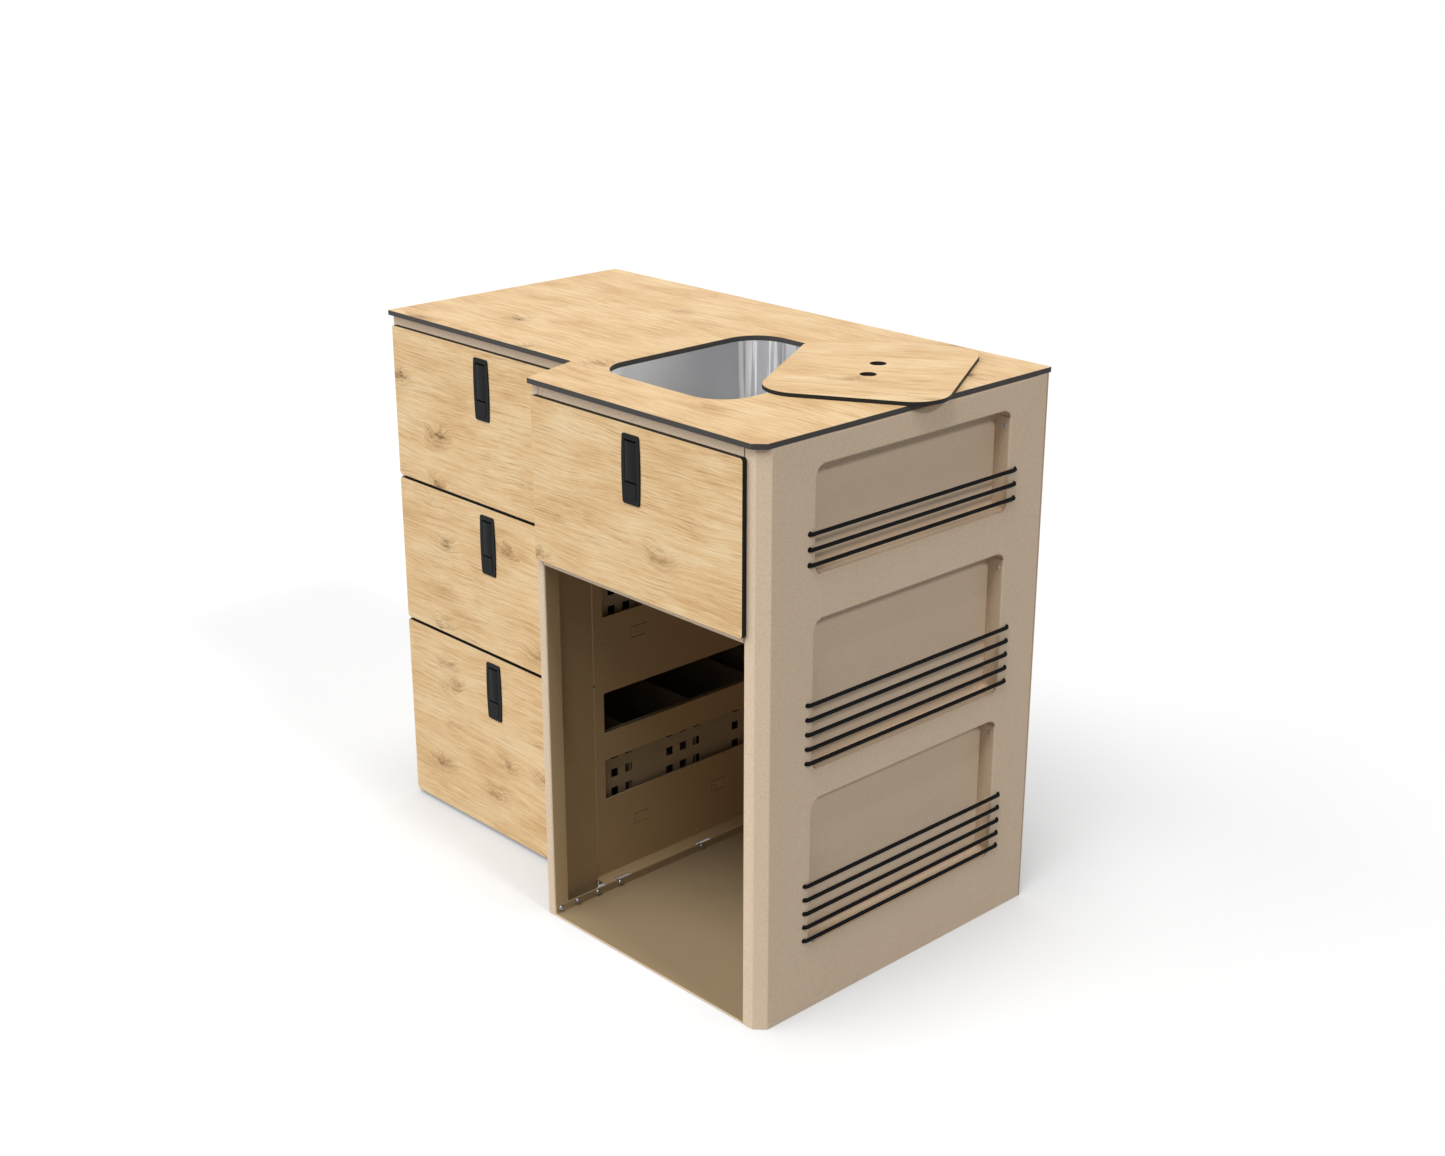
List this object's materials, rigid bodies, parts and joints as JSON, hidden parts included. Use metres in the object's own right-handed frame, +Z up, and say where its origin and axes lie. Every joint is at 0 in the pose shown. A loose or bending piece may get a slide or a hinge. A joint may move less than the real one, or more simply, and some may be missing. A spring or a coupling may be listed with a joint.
{
  "type": "campervan kitchen pod",
  "caption": "L-shaped campervan kitchen unit: laminate worktop with covered sink, latched drawers, an open bay and elastic-laced side pockets in folded sheet metal.",
  "frame": {"origin": "on the floor under the middle of the worktop, on the left floor panel's underside", "axes": "+X along the fronts to the end panel with the pockets, +Y towards the back, +Z up"},
  "size_m": [1.0382, 0.6212, 0.906],
  "materials": {
    "oak_laminate": "satin laminate with a black core",
    "beige_powder_coat": "fine texture, matt",
    "sink_steel": "brushed",
    "zinc_steel": "zinc plated",
    "black_plastic": "moulded, fine texture",
    "black_elastic": "braided sheath",
    "grey_plastic": "moulded"
  },
  "bodies": {
    "root": {"worktop": "oak_laminate", "sink_bowl": "sink_steel", "sink_waste": "sink_steel", "waste_elbow": "grey_plastic", "sink_clips": "zinc_steel", "end_panel": "beige_powder_coat", "left_side_panel": "beige_powder_coat", "partition_panel": "beige_powder_coat", "left_floor_panel": "beige_powder_coat", "back_panel": "beige_powder_coat", "bay_floor_tray": "beige_powder_coat", "bay_ceiling": "beige_powder_coat", "front_upright": "beige_powder_coat", "front_rails": "beige_powder_coat", "runner_brackets": "beige_powder_coat", "carcass_screws": "zinc_steel", "pocket_tray_upper": "beige_powder_coat", "elastic_cord_upper": "black_elastic", "pocket_tray_middle": "beige_powder_coat", "elastic_cord_middle": "black_elastic", "pocket_tray_lower": "beige_powder_coat", "elastic_cord_lower": "black_elastic", "runner_fixed_left_upper": "zinc_steel", "runner_fixed_left_middle": "zinc_steel", "runner_fixed_left_lower": "zinc_steel", "runner_fixed_right": "zinc_steel"},
    "drawer_left_upper": {"front_left_upper": "oak_laminate", "drawer_box_left_upper": "beige_powder_coat", "handle_bezel_left_upper": "black_plastic", "runner_drawer_left_upper": "zinc_steel"},
    "middle_runners_left_upper": {"runner_middle_left_upper": "zinc_steel"},
    "lever_left_upper": {"handle_lever_left_upper": "black_plastic"},
    "button_left_upper": {"handle_button_left_upper": "black_plastic"},
    "bolt_left_upper": {"latch_bolt_left_upper": "zinc_steel"},
    "drawer_left_middle": {"front_left_middle": "oak_laminate", "drawer_box_left_middle": "beige_powder_coat", "handle_bezel_left_middle": "black_plastic", "runner_drawer_left_middle": "zinc_steel"},
    "middle_runners_left_middle": {"runner_middle_left_middle": "zinc_steel"},
    "lever_left_middle": {"handle_lever_left_middle": "black_plastic"},
    "button_left_middle": {"handle_button_left_middle": "black_plastic"},
    "bolt_left_middle": {"latch_bolt_left_middle": "zinc_steel"},
    "drawer_left_lower": {"front_left_lower": "oak_laminate", "drawer_box_left_lower": "beige_powder_coat", "handle_bezel_left_lower": "black_plastic", "runner_drawer_left_lower": "zinc_steel", "drawer_dividers": "beige_powder_coat"},
    "middle_runners_left_lower": {"runner_middle_left_lower": "zinc_steel"},
    "lever_left_lower": {"handle_lever_left_lower": "black_plastic"},
    "button_left_lower": {"handle_button_left_lower": "black_plastic"},
    "bolt_left_lower": {"latch_bolt_left_lower": "zinc_steel"},
    "drawer_right": {"front_right": "oak_laminate", "drawer_box_right": "beige_powder_coat", "handle_bezel_right": "black_plastic", "runner_drawer_right": "zinc_steel"},
    "middle_runners_right": {"runner_middle_right": "zinc_steel"},
    "lever_right": {"handle_lever_right": "black_plastic"},
    "button_right": {"handle_button_right": "black_plastic"},
    "bolt_right": {"latch_bolt_right": "zinc_steel"},
    "lid": {"sink_lid": "oak_laminate"}
  },
  "joints": [
    {"name": "drawer_slide_left_upper", "type": "slide", "parent": "root", "child": "drawer_left_upper", "axis": [0, -1, 0], "range_m": [0, 0.44]},
    {"name": "middle_slide_left_upper", "type": "slide", "parent": "root", "child": "middle_runners_left_upper", "axis": [0, -1, 0], "range_m": [0, 0.22]},
    {"name": "lever_tilt_left_upper", "type": "hinge", "parent": "drawer_left_upper", "child": "lever_left_upper", "pos_m": [-0.25, -0.1945, 0.796], "axis": [1, 0, 0], "range_deg": [0, 40], "stiffness_Nm_per_rad": 0.02},
    {"name": "button_push_left_upper", "type": "slide", "parent": "drawer_left_upper", "child": "button_left_upper", "axis": [0, 1, 0], "range_m": [0, 0.0035], "stiffness_N_per_m": 400},
    {"name": "bolt_throw_left_upper", "type": "slide", "parent": "drawer_left_upper", "child": "bolt_left_upper", "axis": [0, 0, 1], "range_m": [0, 0.006]},
    {"name": "drawer_slide_left_middle", "type": "slide", "parent": "root", "child": "drawer_left_middle", "axis": [0, -1, 0], "range_m": [0, 0.44]},
    {"name": "middle_slide_left_middle", "type": "slide", "parent": "root", "child": "middle_runners_left_middle", "axis": [0, -1, 0], "range_m": [0, 0.22]},
    {"name": "lever_tilt_left_middle", "type": "hinge", "parent": "drawer_left_middle", "child": "lever_left_middle", "pos_m": [-0.25, -0.1945, 0.528], "axis": [1, 0, 0], "range_deg": [0, 40], "stiffness_Nm_per_rad": 0.02},
    {"name": "button_push_left_middle", "type": "slide", "parent": "drawer_left_middle", "child": "button_left_middle", "axis": [0, 1, 0], "range_m": [0, 0.0035], "stiffness_N_per_m": 400},
    {"name": "bolt_throw_left_middle", "type": "slide", "parent": "drawer_left_middle", "child": "bolt_left_middle", "axis": [0, 0, 1], "range_m": [0, 0.006]},
    {"name": "drawer_slide_left_lower", "type": "slide", "parent": "root", "child": "drawer_left_lower", "axis": [0, -1, 0], "range_m": [0, 0.44]},
    {"name": "middle_slide_left_lower", "type": "slide", "parent": "root", "child": "middle_runners_left_lower", "axis": [0, -1, 0], "range_m": [0, 0.22]},
    {"name": "lever_tilt_left_lower", "type": "hinge", "parent": "drawer_left_lower", "child": "lever_left_lower", "pos_m": [-0.25, -0.1945, 0.263], "axis": [1, 0, 0], "range_deg": [0, 40], "stiffness_Nm_per_rad": 0.02},
    {"name": "button_push_left_lower", "type": "slide", "parent": "drawer_left_lower", "child": "button_left_lower", "axis": [0, 1, 0], "range_m": [0, 0.0035], "stiffness_N_per_m": 400},
    {"name": "bolt_throw_left_lower", "type": "slide", "parent": "drawer_left_lower", "child": "bolt_left_lower", "axis": [0, 0, 1], "range_m": [0, 0.006]},
    {"name": "drawer_slide_right", "type": "slide", "parent": "root", "child": "drawer_right", "axis": [0, -1, 0], "range_m": [0, 0.44]},
    {"name": "middle_slide_right", "type": "slide", "parent": "root", "child": "middle_runners_right", "axis": [0, -1, 0], "range_m": [0, 0.22]},
    {"name": "lever_tilt_right", "type": "hinge", "parent": "drawer_right", "child": "lever_right", "pos_m": [0.2485, -0.3065, 0.796], "axis": [1, 0, 0], "range_deg": [0, 40], "stiffness_Nm_per_rad": 0.02},
    {"name": "button_push_right", "type": "slide", "parent": "drawer_right", "child": "button_right", "axis": [0, 1, 0], "range_m": [0, 0.0035], "stiffness_N_per_m": 400},
    {"name": "bolt_throw_right", "type": "slide", "parent": "drawer_right", "child": "bolt_right", "axis": [0, 0, 1], "range_m": [0, 0.006]},
    {"name": "lid_lift", "type": "slide", "parent": "root", "child": "lid", "axis": [0, 0, 1], "range_m": [0, 0.15]}
  ],
  "couplings": [
    {"joint": "middle_slide_left_upper", "follows": "drawer_slide_left_upper", "ratio": 0.5},
    {"joint": "bolt_throw_left_upper", "follows": "button_push_left_upper", "ratio": 1.7142},
    {"joint": "middle_slide_left_middle", "follows": "drawer_slide_left_middle", "ratio": 0.5},
    {"joint": "bolt_throw_left_middle", "follows": "button_push_left_middle", "ratio": 1.7142},
    {"joint": "middle_slide_left_lower", "follows": "drawer_slide_left_lower", "ratio": 0.5},
    {"joint": "bolt_throw_left_lower", "follows": "button_push_left_lower", "ratio": 1.7142},
    {"joint": "middle_slide_right", "follows": "drawer_slide_right", "ratio": 0.5},
    {"joint": "bolt_throw_right", "follows": "button_push_right", "ratio": 1.7142}
  ]
}
